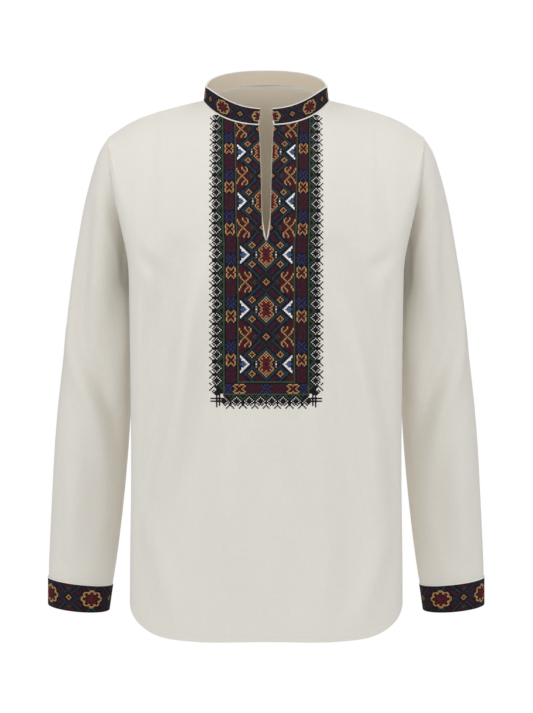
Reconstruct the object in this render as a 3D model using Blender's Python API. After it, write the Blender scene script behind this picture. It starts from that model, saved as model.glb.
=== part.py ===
"""A long-sleeved folk shirt with a band collar, an open neck slit and banded cuffs.

The shirt keeps the hollow form that it has when worn. Metres, +Z up, the front faces -Y.
The origin is the middle of the neck opening, level with the inner ends of the shoulder seams.
"""

import math
from collections import namedtuple

import bpy
import numpy as np

# Cloth and seams
CLOTH = 0.0016
COLLAR_WALL = 0.0024
CUFF_WALL = 0.0024
SEAM_GAP = 0.0003
HALF_GAP = SEAM_GAP / 2

# Neck opening: half width, reach to the front and back, height at the side, drop and rise
NECK_HALF_WIDTH = 0.0875
NECK_FRONT, NECK_BACK = 0.068, 0.052
NECK_SIDE_Z = -0.0045
NECK_FRONT_DROP, NECK_BACK_RISE = 0.0406, 0.0271
NECK_FRONT_BEND, NECK_BACK_BEND = 1.4, 1.2

# Top edge of the collar, which leans in towards the neck
COLLAR_HALF_WIDTH = 0.0854
COLLAR_FRONT, COLLAR_BACK = 0.0640, 0.0470
COLLAR_SIDE_Z = 0.0145
COLLAR_FRONT_DROP, COLLAR_BACK_RISE = 0.0372, 0.0288
COLLAR_FRONT_BEND, COLLAR_BACK_BEND = 2.0, 0.9
COLLAR_END_TOP = 0.0075

# Trunk: level where its rings end, and where the columns above the rings start
CHEST_Z = -0.250
SIDE_SEAM_ANGLE = 114.0
FRONT_SHOULDER_ANGLE, BACK_SHOULDER_ANGLE = 61.0, 152.0
BACK_NECK_ANGLE = 164.0
SPREAD_REACH = 0.081
ARMHOLE_BULGE = 0.006

TrunkRing = namedtuple("TrunkRing", "z half_width widest_y front_y back_y front_power back_power")
TRUNK = (
    TrunkRing(-0.770, 0.1876, -0.052, -0.1290, 0.1150, 2.5, 2.3),
    TrunkRing(-0.630, 0.1876, -0.052, -0.1275, 0.1120, 2.5, 2.3),
    TrunkRing(-0.508, 0.1862, -0.054, -0.1265, 0.1060, 2.5, 2.3),
    TrunkRing(-0.368, 0.1872, -0.056, -0.1270, 0.1050, 2.5, 2.4),
    TrunkRing(-0.297, 0.1880, -0.058, -0.1275, 0.1090, 2.5, 2.6),
    TrunkRing(-0.240, 0.1890, -0.060, -0.1270, 0.1130, 2.5, 2.8),
)

HemPoint = namedtuple("HemPoint", "angle z")
HEM = (
    HemPoint(0.0, -0.7510),
    HemPoint(34.0, -0.7508),
    HemPoint(46.0, -0.7470),
    HemPoint(61.0, -0.7315),
    HemPoint(75.0, -0.7150),
    HemPoint(90.0, -0.7010),
    HemPoint(114.0, -0.6900),
    HemPoint(130.0, -0.7120),
    HemPoint(148.0, -0.7440),
    HemPoint(164.0, -0.7560),
    HemPoint(180.0, -0.7570),
)

SlitPoint = namedtuple("SlitPoint", "z half_width")
SLIT = (
    SlitPoint(-0.2073, 0.0000),
    SlitPoint(-0.1990, 0.0030),
    SlitPoint(-0.1840, 0.0048),
    SlitPoint(-0.1600, 0.0057),
    SlitPoint(-0.1270, 0.0062),
    SlitPoint(-0.0930, 0.0074),
    SlitPoint(-0.0656, 0.0083),
    SlitPoint(-0.0420, 0.0101),
    SlitPoint(0.0600, 0.0101),
)

ShoulderPoint = namedtuple("ShoulderPoint", "x y z")
SHOULDER = (
    ShoulderPoint(0.0875, 0.000, NECK_SIDE_Z),
    ShoulderPoint(0.1323, 0.001, -0.0150),
    ShoulderPoint(0.1700, 0.003, -0.0260),
    ShoulderPoint(0.1980, 0.005, -0.0370),
    ShoulderPoint(0.2215, 0.008, -0.0555),
)

# Each sleeve ring runs through an outer and an inner point, and bulges to the front and back
RING_COLUMNS = "outer_x outer_z inner_x inner_z outer_y inner_y front back drop"
SleeveRing = namedtuple("SleeveRing", RING_COLUMNS)
SLEEVE = (
    SleeveRing(0.2215, -0.0555, 0.1800, -0.2260, 0.008, 0.022, 0.060, 0.060, 0.000),
    SleeveRing(0.2355, -0.0765, 0.1846, -0.2335, 0.012, 0.024, 0.063, 0.061, 0.000),
    SleeveRing(0.2460, -0.1091, 0.1880, -0.2430, 0.018, 0.027, 0.065, 0.062, 0.000),
    SleeveRing(0.2562, -0.1450, 0.1900, -0.2540, 0.024, 0.030, 0.065, 0.062, 0.000),
    SleeveRing(0.2632, -0.1810, 0.1904, -0.2665, 0.029, 0.033, 0.064, 0.062, 0.001),
    SleeveRing(0.2692, -0.2145, 0.1900, -0.2810, 0.032, 0.035, 0.062, 0.061, 0.002),
    SleeveRing(0.2764, -0.2569, 0.1888, -0.3030, 0.035, 0.037, 0.059, 0.060, 0.002),
    SleeveRing(0.2820, -0.2993, 0.1878, -0.3310, 0.037, 0.038, 0.056, 0.058, 0.003),
    SleeveRing(0.2905, -0.3841, 0.1888, -0.3980, 0.038, 0.038, 0.052, 0.055, 0.003),
    SleeveRing(0.2990, -0.4689, 0.1930, -0.4780, 0.038, 0.038, 0.049, 0.051, 0.003),
    SleeveRing(0.3036, -0.5539, 0.2004, -0.5640, 0.038, 0.038, 0.045, 0.047, 0.003),
    SleeveRing(0.3079, -0.6389, 0.2110, -0.6500, 0.040, 0.040, 0.041, 0.042, 0.003),
    SleeveRing(0.3090, -0.6743, 0.2172, -0.6852, 0.042, 0.042, 0.039, 0.040, 0.003),
)
CUFF = (
    SleeveRing(0.3098, -0.6746, 0.2165, -0.6855, 0.042, 0.042, 0.0398, 0.0408, 0.003),
    SleeveRing(0.3099, -0.7132, 0.2218, -0.7217, 0.043, 0.043, 0.0378, 0.0388, 0.004),
)

# Largest folds as seen from the front, with the wearer's left at +x: ridges have a depth above 0
Fold = namedtuple("Fold", "x_top z_top x_low z_low width depth")
FRONT_FOLDS = (
    Fold(-0.128, -0.200, -0.160, -0.390, 0.018, -0.0045),
    Fold(-0.098, -0.240, -0.158, -0.600, 0.020, 0.0050),
    Fold(-0.090, -0.420, -0.126, -0.740, 0.024, -0.0030),
    Fold(-0.165, -0.430, -0.172, -0.660, 0.014, -0.0028),
    Fold(0.094, -0.205, 0.154, -0.400, 0.018, -0.0045),
    Fold(0.104, -0.240, 0.163, -0.620, 0.020, 0.0048),
    Fold(0.084, -0.450, 0.120, -0.745, 0.026, -0.0026),
    Fold(0.168, -0.450, 0.170, -0.650, 0.014, -0.0030),
)
BACK_FOLDS = (
    Fold(-0.110, -0.150, -0.066, -0.430, 0.026, -0.0050),
    Fold(-0.056, -0.240, -0.104, -0.700, 0.026, 0.0055),
    Fold(-0.010, -0.320, -0.026, -0.730, 0.026, -0.0040),
    Fold(0.104, -0.165, 0.074, -0.450, 0.026, -0.0052),
    Fold(0.064, -0.250, 0.096, -0.680, 0.028, 0.0050),
    Fold(0.130, -0.430, 0.116, -0.740, 0.022, -0.0036),
)
SLEEVE_FRONT_FOLDS = (
    Fold(-0.212, -0.115, -0.200, -0.300, 0.013, -0.0060),
    Fold(-0.262, -0.240, -0.216, -0.440, 0.016, -0.0055),
    Fold(-0.238, -0.170, -0.226, -0.370, 0.016, 0.0048),
    Fold(-0.276, -0.430, -0.262, -0.640, 0.020, 0.0030),
    Fold(-0.226, -0.450, -0.236, -0.630, 0.014, -0.0035),
    Fold(0.212, -0.120, 0.199, -0.290, 0.013, -0.0060),
    Fold(0.258, -0.225, 0.214, -0.430, 0.017, -0.0055),
    Fold(0.240, -0.160, 0.224, -0.360, 0.016, 0.0045),
    Fold(0.280, -0.410, 0.264, -0.620, 0.020, 0.0030),
    Fold(0.228, -0.440, 0.236, -0.640, 0.014, -0.0035),
)
SLEEVE_BACK_FOLDS = (
    Fold(-0.216, -0.120, -0.206, -0.300, 0.014, -0.0055),
    Fold(-0.258, -0.260, -0.216, -0.400, 0.016, -0.0055),
    Fold(-0.214, -0.390, -0.272, -0.470, 0.016, -0.0040),
    Fold(-0.240, -0.440, -0.250, -0.640, 0.020, 0.0035),
    Fold(0.216, -0.130, 0.204, -0.310, 0.014, -0.0055),
    Fold(0.262, -0.250, 0.218, -0.390, 0.016, -0.0052),
    Fold(0.218, -0.400, 0.270, -0.490, 0.016, -0.0040),
    Fold(0.244, -0.460, 0.254, -0.650, 0.020, 0.0035),
)

# Mesh columns and rows
NECK_COLUMNS = 8
SHOULDER_COLUMNS = 4
ARMHOLE_COLUMNS = 10
LOWER_ROWS = 8
SLIT_FOOT_ROWS = 2
SLIT_ROWS = 8
RELAX_STEPS = 14
RELAX_FIRST_ROW = 5
SLEEVE_COLUMNS = 2 * ARMHOLE_COLUMNS
SLEEVE_STATIONS = (
    0.0, 0.5, 1.0, 1.7, 2.5, 3.3, 4.1, 5.0, 5.8, 6.5, 7.0, 7.5, 8.0, 8.5, 9.0, 9.6, 10.2, 10.8,
    11.4, 12.0,
)
CUFF_ROWS = 2
COLLAR_COLUMNS = 4 * NECK_COLUMNS
COLLAR_ROWS = 2


def smooth(at, places, values):
    """Values of a table at the given places, on a smooth curve through its rows."""
    places, values = np.asarray(places, float), np.asarray(values, float)
    slope = np.gradient(values, places)
    at = np.clip(np.asarray(at, float), places[0], places[-1])
    i = np.clip(np.searchsorted(places, at, side="right") - 1, 0, len(places) - 2)
    step = places[i + 1] - places[i]
    t = (at - places[i]) / step
    low = (1 + 2 * t) * (1 - t) ** 2 * values[i] + t * (1 - t) ** 2 * step * slope[i]
    high = t * t * (3 - 2 * t) * values[i + 1] + t * t * (t - 1) * step * slope[i + 1]
    return low + high


def column(table, name):
    """One named column of a table as a list."""
    return [getattr(row, name) for row in table]


def unit(vectors):
    """The same vectors at length 1."""
    return vectors / np.maximum(np.linalg.norm(vectors, axis=-1, keepdims=True), 1e-12)


def points(x, y, z):
    """Coordinates joined into an array of points."""
    return np.stack(np.broadcast_arrays(np.asarray(x, float), y, z), axis=-1)


def ease(share):
    """A smooth step from 0 to 1."""
    share = np.clip(share, 0, 1)
    return share * share * (3 - 2 * share)


def fold_height(folds, x, z):
    """How far the folds lift the cloth at a place seen from the front."""
    height = np.zeros(np.broadcast(x, z).shape)
    for fold in folds:
        run = np.array([fold.x_low - fold.x_top, fold.z_low - fold.z_top])
        length = np.linalg.norm(run)
        along = ((x - fold.x_top) * run[0] + (z - fold.z_top) * run[1]) / length
        across = ((x - fold.x_top) * run[1] - (z - fold.z_top) * run[0]) / length
        taper = np.sin(math.pi * np.clip(along / length, 0, 1)) ** 1.5
        height = height + fold.depth * taper * np.exp(-((across / fold.width) ** 2))
    return height


def spread(place, half_width):
    """Moves points beside the centre front outwards, as the open slit parts the cloth."""
    share = np.clip(1 - place[..., 0] / SPREAD_REACH, 0, 1)
    moved = place.copy()
    moved[..., 0] += half_width * share
    return moved


def slit_half_width(z):
    """Half the width of the neck slit at a height."""
    return np.maximum(smooth(z, column(SLIT, "z"), column(SLIT, "half_width")), 0)


def trunk(angle, z):
    """A point of the trunk's ring at a height. Angle 0 is the centre front, 180 the centre back."""
    size = {name: smooth(z, column(TRUNK, "z"), column(TRUNK, name)) for name in TrunkRing._fields}
    a = np.radians(angle)
    sine, cosine = np.sin(a), np.cos(a)
    power = np.where(cosine >= 0, size["front_power"], size["back_power"])
    reach = (np.abs(sine) ** power + np.abs(cosine) ** power) ** (-1 / power)
    front_depth = size["widest_y"] - size["front_y"]
    back_depth = size["back_y"] - size["widest_y"]
    depth = np.where(cosine >= 0, front_depth, back_depth)
    return points(size["half_width"] * reach * sine, size["widest_y"] - depth * reach * cosine, z)


def loop(angle, half_width, front, back, side_z, drop, rise, front_bend, back_bend):
    """A point of a loop round the neck. Angle 0 is the centre front, 180 the centre back."""
    a = np.radians(angle)
    cosine = np.cos(a)
    share = np.abs(cosine)
    y = np.where(cosine > 0, -front * cosine, -back * cosine)
    z = side_z + np.where(cosine > 0, -drop * share**front_bend, rise * share**back_bend)
    return points(half_width * np.sin(a), y, z)


def neckline(angle):
    """A point of the edge that the collar is sewn to."""
    edge = (NECK_SIDE_Z, NECK_FRONT_DROP, NECK_BACK_RISE, NECK_FRONT_BEND, NECK_BACK_BEND)
    return loop(angle, NECK_HALF_WIDTH, NECK_FRONT, NECK_BACK, *edge)


def collar_top(angle):
    """A point of the collar's top edge."""
    edge = (COLLAR_SIDE_Z, COLLAR_FRONT_DROP, COLLAR_BACK_RISE)
    bends = (COLLAR_FRONT_BEND, COLLAR_BACK_BEND)
    return loop(angle, COLLAR_HALF_WIDTH, COLLAR_FRONT, COLLAR_BACK, *edge, *bends)


def shoulder(share):
    """A point of the shoulder seam, from the neck at 0 to the armhole at 1."""
    x = column(SHOULDER, "x")
    at = x[0] + (x[-1] - x[0]) * np.asarray(share, float)
    return points(at, smooth(at, x, column(SHOULDER, "y")), smooth(at, x, column(SHOULDER, "z")))


def ring_place(table, angle, station):
    """A point of a tube of rings. Angle 0 is the outer side, 90 the front, 180 the inner side."""
    stations = range(len(table))
    size = {name: smooth(station, stations, column(table, name)) for name in SleeveRing._fields}
    a = np.radians(angle)
    outward, forward = np.cos(a), np.sin(a)
    middle = [(size["outer_" + axis] + size["inner_" + axis]) / 2 for axis in "xyz"]
    half = [(size["outer_" + axis] - size["inner_" + axis]) / 2 for axis in "xyz"]
    x, y, z = (m + h * outward for m, h in zip(middle, half))
    bulge = np.where(forward > 0, size["front"], size["back"])
    return points(x, y - bulge * forward, z - size["drop"] * forward)


def sleeve_place(angle, station):
    """A point of the left sleeve without folds. Station 0 is the armhole."""
    place = ring_place(SLEEVE, angle, station)
    fade = np.clip(1 - np.asarray(station, float) / 4, 0, 1) ** 2
    place[..., 0] += ARMHOLE_BULGE * np.sin(np.radians(angle)) ** 2 * fade
    return place


# Which side a panel is on, its direction at the neck's centre, and how its columns turn inwards
Panel = namedtuple("Panel", "side neck_way neck_turn shoulder_pull folds")
FRONT = Panel(1, (0.0, 0.50, 0.86), 1.6, 0.85, FRONT_FOLDS)
BACK = Panel(-1, (0.0, -0.45, 0.89), 2.0, 1.0, BACK_FOLDS)


def neck_foot(side, share):
    """Angle on the chest ring below a place of the neckline."""
    share = np.asarray(share, float)
    if side < 0:
        return 180.0 - (180.0 - BACK_NECK_ANGLE) * share
    wanted = NECK_HALF_WIDTH * np.sin(np.radians(90.0 * share))
    angles = np.linspace(0, 60, 241)
    return np.interp(wanted, trunk(angles, CHEST_Z)[..., 0], angles)


def column_ends(panel, mark):
    """Foot angle, top point and top direction of a panel's columns on the wearer's left.

    Mark runs from 0 at the centre to 1 at the neck, 2 at the armhole and 3 at the side seam.
    """
    side = panel.side
    neck, along, arm = np.clip(mark, 0, 1), np.clip(mark - 1, 0, 1), np.clip(mark - 2, 0, 1)
    over = np.array((0.0, 1.0 * side, 0.0))
    neck_turn = (neck**panel.neck_turn)[..., None]
    arm_turn = (np.sin(math.pi / 2 * arm) ** 0.7)[..., None]
    neck_way = unit(np.array(panel.neck_way) * (1 - neck_turn) + over * neck_turn)
    arm_way = unit(over * (1 - arm_turn) + np.array((0.0, 0.0, 1.0)) * arm_turn)
    neck_edge = neckline(90.0 * neck if side > 0 else 180.0 - 90.0 * neck)
    arm_edge = sleeve_place(180.0 * arm * side, 0.0 * arm)
    shoulder_foot = FRONT_SHOULDER_ANGLE if side > 0 else BACK_SHOULDER_ANGLE
    neck_end = neck_foot(side, 1.0)
    along_foot = neck_end * (1 - along) + shoulder_foot * along
    arm_foot = shoulder_foot * (1 - arm) + SIDE_SEAM_ANGLE * arm
    foot = np.where(mark <= 1, neck_foot(side, neck), np.where(mark <= 2, along_foot, arm_foot))
    first, second = (mark <= 1)[..., None], (mark <= 2)[..., None]
    top = np.where(first, neck_edge, np.where(second, shoulder(along), arm_edge))
    way = np.where(first, neck_way, np.where(second, over, arm_way))
    return foot, top, way


def panel_place(panel, mark, level):
    """A point of a panel's left half without folds. Level 0 is the hem, 1 the chest, 2 the top."""
    mark, level = np.broadcast_arrays(np.asarray(mark, float), np.asarray(level, float))
    foot, top, way = column_ends(panel, mark)
    way = way * (1 - (1 - panel.shoulder_pull) * ease(mark) * ease((3 - mark) / 1.5))[..., None]
    hem = smooth(foot, column(HEM, "angle"), column(HEM, "z"))
    chest = np.full(foot.shape, CHEST_Z)
    lower = trunk(foot, hem + (chest - hem) * np.clip(level, 0, 1))
    start = trunk(foot, chest)
    lean = unit(start - trunk(foot, chest - 0.02))
    length = np.linalg.norm(top - start, axis=-1, keepdims=True)
    t = np.clip(level - 1, 0, 1)[..., None]
    rise = (1 + 2 * t) * (1 - t) ** 2 * start + t * (1 - t) ** 2 * length * lean
    rise = rise + t * t * (3 - 2 * t) * top + t * t * (t - 1) * length * way
    place = np.where((level <= 1)[..., None], lower, rise)
    return spread(place, slit_half_width(place[..., 2])) if panel.side > 0 else place


def normals(surface, first, second, spans, turn):
    """Outward unit normals of a surface of two parameters. A span of 360 goes all round."""
    first, second = np.broadcast_arrays(np.asarray(first, float), np.asarray(second, float))
    da, db = spans[0] * 1e-4, spans[1] * 1e-4
    low_a, high_a = first - da, first + da
    if spans[0] != 360.0:
        low_a, high_a = np.maximum(low_a, 0), np.minimum(high_a, spans[0])
    low_b, high_b = np.maximum(second - db, 0), np.minimum(second + db, spans[1])
    across = surface(high_a, second) - surface(low_a, second)
    along = surface(first, high_b) - surface(first, low_b)
    return turn * unit(np.cross(across, along))


def panel_normals(panel, mark, level):
    """Outward normals of a panel's left half."""
    turned = panel.side
    return normals(lambda a, b: panel_place(panel, a, b), mark, level, (3.0, 2.0), turned)


def sleeve_normals(angle, station):
    """Outward normals of the left sleeve."""
    return normals(sleeve_place, angle, station, (360.0, len(SLEEVE) - 1.0), 1)


def seam(first, second, first_normal, second_normal, first_way, second_way):
    """Shared normal of a seam, and the direction across it from the first piece to the second.

    The ways are the directions in which the cloth of each piece leaves it at the seam.
    """
    shared = unit(first_normal + second_normal)
    across = first_way - second_way
    across = across - shared * np.sum(across * shared, axis=-1, keepdims=True)
    return shared, unit(across)


def arm_seam(panel, arm):
    """Shared normal and direction from the panel to the sleeve at the armhole."""
    small = 1e-3
    mark, level = 2 + arm, 2 + 0 * arm
    angle, station = 180.0 * arm * panel.side, 0 * arm
    panel_way = unit(panel_place(panel, mark, level) - panel_place(panel, mark, level - small))
    sleeve_way = unit(sleeve_place(angle, station) - sleeve_place(angle, station + small))
    panel_side = panel_normals(panel, np.maximum(mark, 2.0001), level)
    return seam(panel, None, panel_side, sleeve_normals(angle, station), panel_way, sleeve_way)


def edge_ways(panel, mark, level, step_mark, step_level):
    """Directions in which a panel's cloth leaves it at an edge."""
    inside = panel_place(panel, mark - step_mark, level - step_level)
    return unit(panel_place(panel, mark, level) - inside)


def other(panel):
    """The panel on the other side of the side seams."""
    return BACK if panel.side > 0 else FRONT


def panel_levels():
    """Levels of a panel's rows, one of which is at the lower end of the neck slit."""
    probe = np.linspace(1, 2, 401)
    heights = panel_place(FRONT, 0 * probe, probe)[..., 2]
    slit_end = float(np.interp(SLIT[0].z, heights, probe))
    lower = np.linspace(0, 1, LOWER_ROWS + 1)
    middle = np.linspace(1, slit_end, SLIT_FOOT_ROWS + 1)
    upper = np.linspace(slit_end, 2, SLIT_ROWS + 1)
    return np.concatenate([lower, middle[1:], upper[1:]]), slit_end


def relaxed(place, share):
    """A panel's half grid, evened out by a share between its neck, its shoulder and its hem."""
    start = place
    for _ in range(RELAX_STEPS):
        moved = place.copy()
        inner = place[RELAX_FIRST_ROW:-1]
        beside = inner[:, :-2] + inner[:, 2:]
        above = place[RELAX_FIRST_ROW + 1 :, 1:-1] + place[RELAX_FIRST_ROW - 1 : -2, 1:-1]
        moved[RELAX_FIRST_ROW:-1, 1:-1] = 0.4 * inner[:, 1:-1] + 0.2 * beside + 0.1 * above
        moved[RELAX_FIRST_ROW:-1, 0, 1:] = 0.6 * inner[:, 0, 1:] + 0.4 * inner[:, 1, 1:]
        place = moved
    return start + (place - start) * share[..., None]


def grid_normals(place, side, closed):
    """Outward normals of a panel's half grid, whose centre column is closed on some rows."""
    across, along = np.gradient(place, axis=1), np.gradient(place, axis=0)
    across[closed, 0] = (1.0, 0.0, 0.0)
    normal = side * np.cross(across, along)
    normal[closed, 0, 0] = 0
    return unit(normal)


def panel_half(panel, flip):
    """Points and inward directions of half a panel, with its seam edges set back."""
    neck = np.linspace(0, 1, NECK_COLUMNS + 1)
    along = np.linspace(1, 2, SHOULDER_COLUMNS + 1)[1:]
    arm = np.linspace(2, 3, ARMHOLE_COLUMNS + 1)[1:]
    marks = np.concatenate([neck, along, arm])
    levels, slit_end = panel_levels()
    level, mark = np.meshgrid(levels, marks, indexing="ij")
    place = relaxed(panel_place(panel, mark, level), ease((2.0 - mark) / 0.7))
    closed = levels <= slit_end + 1e-9 if panel.side > 0 else levels >= 0
    normal = grid_normals(place, panel.side, closed)
    settled = ease((3 - mark) / 0.6) * ease((2 - level) / 0.25)
    height = fold_height(panel.folds, flip * place[..., 0], place[..., 2]) * settled
    place = place + normal * height[..., None]
    normal = grid_normals(place, panel.side, closed)

    facing = other(panel)
    end_mark = np.full(levels.shape, 3.0)
    own = panel_normals(panel, end_mark, levels)
    their = panel_normals(facing, end_mark, levels)
    own_way = edge_ways(panel, end_mark, levels, 1e-3, 0)
    their_way = edge_ways(facing, end_mark, levels, 1e-3, 0)
    side_normal, side_across = seam(None, None, own, their, own_way, their_way)

    over = marks >= 1
    top_level = np.full(marks.shape, 2.0)
    own = panel_normals(panel, marks, top_level)
    their = panel_normals(facing, marks, top_level)
    own_way = edge_ways(panel, marks, top_level, 0, 1e-3)
    their_way = edge_ways(facing, marks, top_level, 0, 1e-3)
    top_normal, top_across = seam(None, None, own, their, own_way, their_way)
    arm_share = np.clip(marks - 2, 0, 1)
    arm_normal, arm_across = arm_seam(panel, arm_share)
    on_shoulder = over & (marks <= 2)
    on_arm = marks >= 2
    place[:, -1] -= side_across * HALF_GAP
    place[-1, on_shoulder] -= top_across[on_shoulder] * HALF_GAP
    place[-1, on_arm] -= arm_across[on_arm] * HALF_GAP
    normal[:, -1] = side_normal
    normal[-1, on_shoulder] = top_normal[on_shoulder]
    normal[-1, on_arm] = arm_normal[on_arm]
    normal[-1, marks == 2] = corner_normal(0.0)
    normal[-1, marks == 3] = corner_normal(1.0)
    mirror = np.array((flip, 1.0, 1.0))
    return place * mirror, normal * mirror, closed


def corner_normal(arm):
    """Shared normal where the front, the back and the sleeve meet."""
    share = np.array([arm])
    both = arm_seam(FRONT, share)[0] + arm_seam(BACK, share)[0]
    return unit(both)


def sheet_faces(grid, wrap=False):
    """Quads of an index grid, in the order that faces outwards."""
    if wrap:
        grid = np.concatenate([grid, grid[:, :1]], axis=1)
    faces = []
    for r in range(grid.shape[0] - 1):
        for c in range(grid.shape[1] - 1):
            quad = (grid[r, c], grid[r, c + 1], grid[r + 1, c + 1], grid[r + 1, c])
            faces.append(tuple(int(v) for v in quad))
    return faces


def make_wall(name, outer, normal, faces, thickness, material):
    """A closed wall of cloth from its outer sheet, with rims round its open edges."""
    count = len(outer)
    inner = outer - normal * thickness
    directed = set()
    for face in faces:
        directed.update(zip(face, face[1:] + face[:1]))
    walls = [tuple(face) for face in faces]
    walls += [(a + count, d + count, c + count, b + count) for a, b, c, d in faces]
    order = outer @ np.array((0.0, 0.37, 1.0)) + 0.61 * np.abs(outer[:, 0])
    for start, end in sorted(directed):
        if (end, start) in directed:
            continue
        if order[end] < order[start]:
            walls.append((end, start, start + count, end + count))
        else:
            walls.append((start, start + count, end + count, end))
    mesh = bpy.data.meshes.new(name)
    mesh.from_pydata(np.concatenate([outer, inner]).tolist(), [], walls)
    mesh.validate()
    mesh.shade_smooth()
    mesh.set_sharp_from_angle(angle=math.radians(40))
    mesh.materials.append(material)
    made = bpy.data.objects.new(name, mesh)
    bpy.context.scene.collection.objects.link(made)
    return made


def make_panel(name, panel, material):
    """The front or the back, whose two halves share the centre column where it is closed."""
    right, right_normal, closed = panel_half(panel, -1.0)
    left, left_normal, _ = panel_half(panel, 1.0)
    rows, columns = left.shape[:2]
    left_index = np.arange(rows * columns).reshape(rows, columns)
    right_index = left_index + rows * columns
    right_index[closed, 0] = left_index[closed, 0]
    right_grid = right_index[:, ::-1]
    grids = [right_grid, left_index]
    if panel.side < 0:
        grids = [grid[:, ::-1] for grid in grids]
    outer = np.concatenate([left.reshape(-1, 3), right.reshape(-1, 3)])
    normal = np.concatenate([left_normal.reshape(-1, 3), right_normal.reshape(-1, 3)])
    faces = [face for grid in grids for face in sheet_faces(grid)]
    used = np.unique(np.array(faces))
    renumber = np.full(len(outer), -1)
    renumber[used] = np.arange(len(used))
    faces = [tuple(int(renumber[v]) for v in face) for face in faces]
    return make_wall(name, outer[used], normal[used], faces, CLOTH, material)


def mirrored(outer, normal, faces, flip):
    """A left piece as it is, or turned into its mirror image on the wearer's right."""
    if flip > 0:
        return outer, normal, faces
    mirror = np.array((-1.0, 1.0, 1.0))
    turned = [(face[0], face[3], face[2], face[1]) for face in faces]
    return outer * mirror, normal * mirror, turned


def make_sleeve(name, flip, material):
    """A sleeve as a tube from the armhole to the cuff."""
    angles = np.arange(SLEEVE_COLUMNS) * 360.0 / SLEEVE_COLUMNS
    stations = np.array(SLEEVE_STATIONS)
    station, angle = np.meshgrid(stations, angles, indexing="ij")
    place = sleeve_place(angle, station)
    normal = sleeve_normals(angle, station)
    forward = np.sin(np.radians(angle))
    x, z = flip * place[..., 0], place[..., 2]
    front, back = fold_height(SLEEVE_FRONT_FOLDS, x, z), fold_height(SLEEVE_BACK_FOLDS, x, z)
    settled = ease(station / 1.5) * ease((len(SLEEVE) - 1 - station) / 0.8)
    height = np.where(forward > 0, front, back) * ease(np.abs(forward) / 0.7) * settled
    place = place + normal * height[..., None]
    for i, at in enumerate(angles):
        panel = FRONT if at <= 180 else BACK
        arm = np.array([at / 180.0 if at <= 180 else (360.0 - at) / 180.0])
        shared, across = arm_seam(panel, arm)
        if at in (0.0, 180.0):
            shared = corner_normal(float(arm[0]))
            across = unit(across + arm_seam(other(panel), arm)[1])
        normal[0, i] = shared[0]
        place[0, i] += across[0] * HALF_GAP
    grid = np.arange(place.shape[0] * place.shape[1]).reshape(place.shape[:2])
    faces = sheet_faces(grid, wrap=True)
    parts = mirrored(place.reshape(-1, 3), normal.reshape(-1, 3), faces, flip)
    return make_wall(name, *parts, CLOTH, material)


def make_cuff(name, flip, material):
    """A cuff as a closed band below the sleeve."""
    angles = np.arange(SLEEVE_COLUMNS) * 360.0 / SLEEVE_COLUMNS
    stations = np.linspace(0, 1, CUFF_ROWS + 1)
    station, angle = np.meshgrid(stations, angles, indexing="ij")

    def place(a, b):
        return ring_place(CUFF, a, b)

    outer, normal = place(angle, station), normals(place, angle, station, (360.0, 1.0), 1)
    grid = np.arange(outer.shape[0] * outer.shape[1]).reshape(outer.shape[:2])
    faces = sheet_faces(grid, wrap=True)
    parts = mirrored(outer.reshape(-1, 3), normal.reshape(-1, 3), faces, flip)
    return make_wall(name, *parts, CUFF_WALL, material)


def collar_place(turn, height):
    """A point of the collar. Turn goes from 0 at its left front end round the back to 360."""
    turn, height = np.broadcast_arrays(np.asarray(turn, float), np.asarray(height, float))
    near = np.where(turn <= 180, turn, 360 - turn)
    low, high = neckline(near), collar_top(near)
    low = spread(low, slit_half_width(low[..., 2])) + np.array((0.0, 0.0, SEAM_GAP))
    high = spread(high, COLLAR_END_TOP)
    place = low * (1 - height[..., None]) + high * height[..., None]
    place[..., 0] *= np.where(turn <= 180, 1.0, -1.0)
    return place


def make_collar(name, material):
    """The band collar, open at the front."""
    turns = np.linspace(0, 360, COLLAR_COLUMNS + 1)
    heights = np.linspace(0, 1, COLLAR_ROWS + 1)
    height, turn = np.meshgrid(heights, turns, indexing="ij")
    outer = collar_place(turn, height)
    normal = normals(collar_place, turn, height, (360.0001, 1.0), 1)
    normal[:, 0] = normals(collar_place, turn[:, 0] + 0.05, height[:, 0], (360.0, 1.0), 1)
    normal[:, -1] = normals(collar_place, turn[:, -1] - 0.05, height[:, -1], (360.0, 1.0), 1)
    grid = np.arange(outer.shape[0] * outer.shape[1]).reshape(outer.shape[:2])
    parts = (outer.reshape(-1, 3), normal.reshape(-1, 3), sheet_faces(grid))
    return make_wall(name, *parts, COLLAR_WALL, material)


def material_of(name, colour, roughness):
    """A plain cloth or thread material."""
    material = bpy.data.materials.new(name)
    material.use_nodes = True
    shader = material.node_tree.nodes["Principled BSDF"]
    shader.inputs["Base Color"].default_value = (*colour, 1.0)
    shader.inputs["Roughness"].default_value = roughness
    shader.inputs["Metallic"].default_value = 0.0
    return material


def build():
    """Builds every piece of the shirt."""
    for item in list(bpy.data.objects):
        bpy.data.objects.remove(item)
    linen = (0.72, 0.69, 0.63)
    make_panel("front", FRONT, material_of("front cloth", linen, 0.85))
    make_panel("back", BACK, material_of("back cloth", linen, 0.85))
    make_sleeve("sleeve_left", 1.0, material_of("left sleeve cloth", linen, 0.85))
    make_sleeve("sleeve_right", -1.0, material_of("right sleeve cloth", linen, 0.85))
    make_collar("collar", material_of("collar embroidery", (0.10, 0.08, 0.07), 0.8))
    make_cuff("cuff_left", 1.0, material_of("left cuff embroidery", (0.10, 0.08, 0.07), 0.8))
    make_cuff("cuff_right", -1.0, material_of("right cuff embroidery", (0.10, 0.08, 0.07), 0.8))


build()
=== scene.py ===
import math
from collections import namedtuple

import bmesh
import bpy
import numpy as np
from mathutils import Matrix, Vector
from mathutils.bvhtree import BVHTree


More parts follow.
